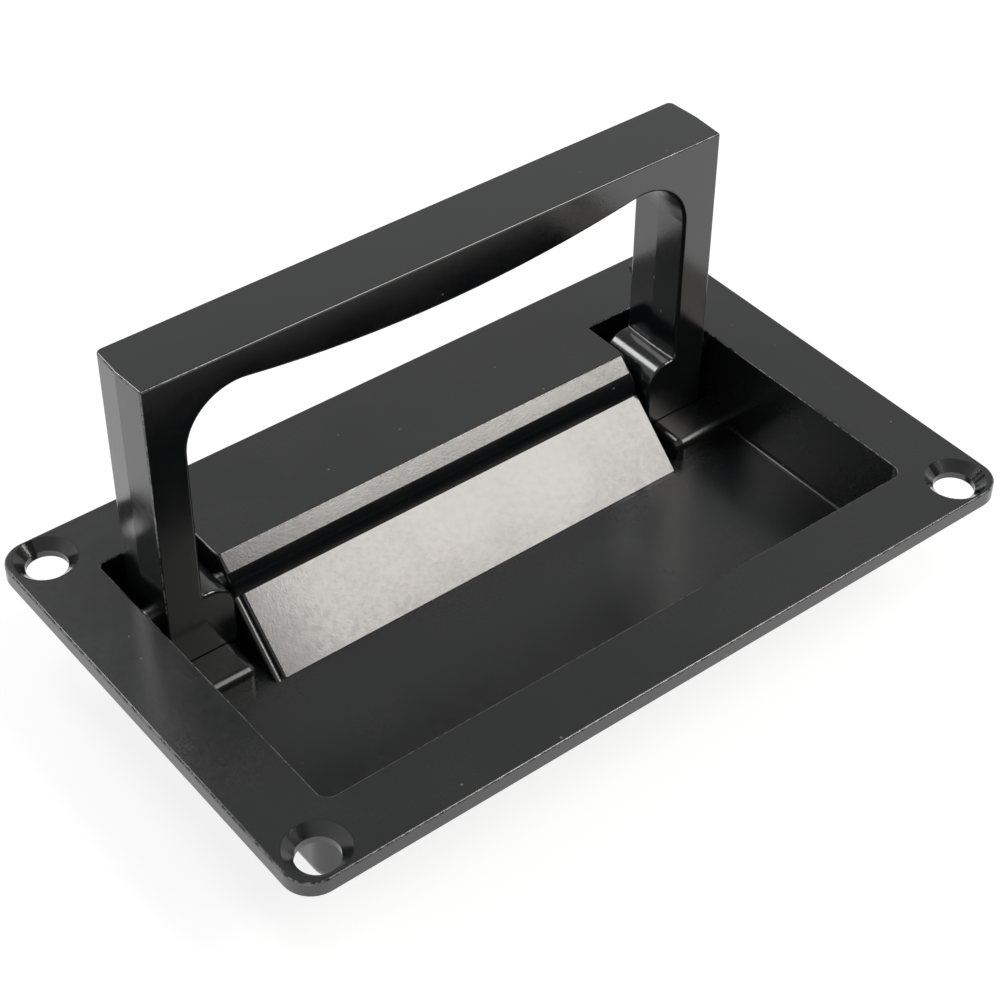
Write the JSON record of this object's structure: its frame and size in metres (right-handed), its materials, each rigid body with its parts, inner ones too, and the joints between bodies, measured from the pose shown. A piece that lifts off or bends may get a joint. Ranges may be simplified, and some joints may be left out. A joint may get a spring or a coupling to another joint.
{
  "type": "recessed pull handle",
  "caption": "Rectangular tray handle: screwed flange with a shallow pan and a bail handle that swings up out of it and folds flush.",
  "frame": {"origin": "centre of the four screw holes, on the flange's underside where it seats on the panel", "axes": "+X along the handle's length, -Y the front towards which the handle folds, +Z out of the panel"},
  "size_m": [0.15, 0.0916, 0.0657],
  "materials": {
    "black_coat": "semi-gloss",
    "pin_steel": "satin"
  },
  "bodies": {
    "tray": {"tray": "black_coat", "slope_plate": "black_coat", "pivot_pin_left": "pin_steel", "pivot_pin_right": "pin_steel"},
    "handle": {"handle": "black_coat"}
  },
  "joints": [
    {"name": "handle_fold", "type": "hinge", "parent": "tray", "child": "handle", "pos_m": [0, 0.02297, -0.0038], "axis": [1, 0, 0], "range_deg": [0, 90]}
  ]
}
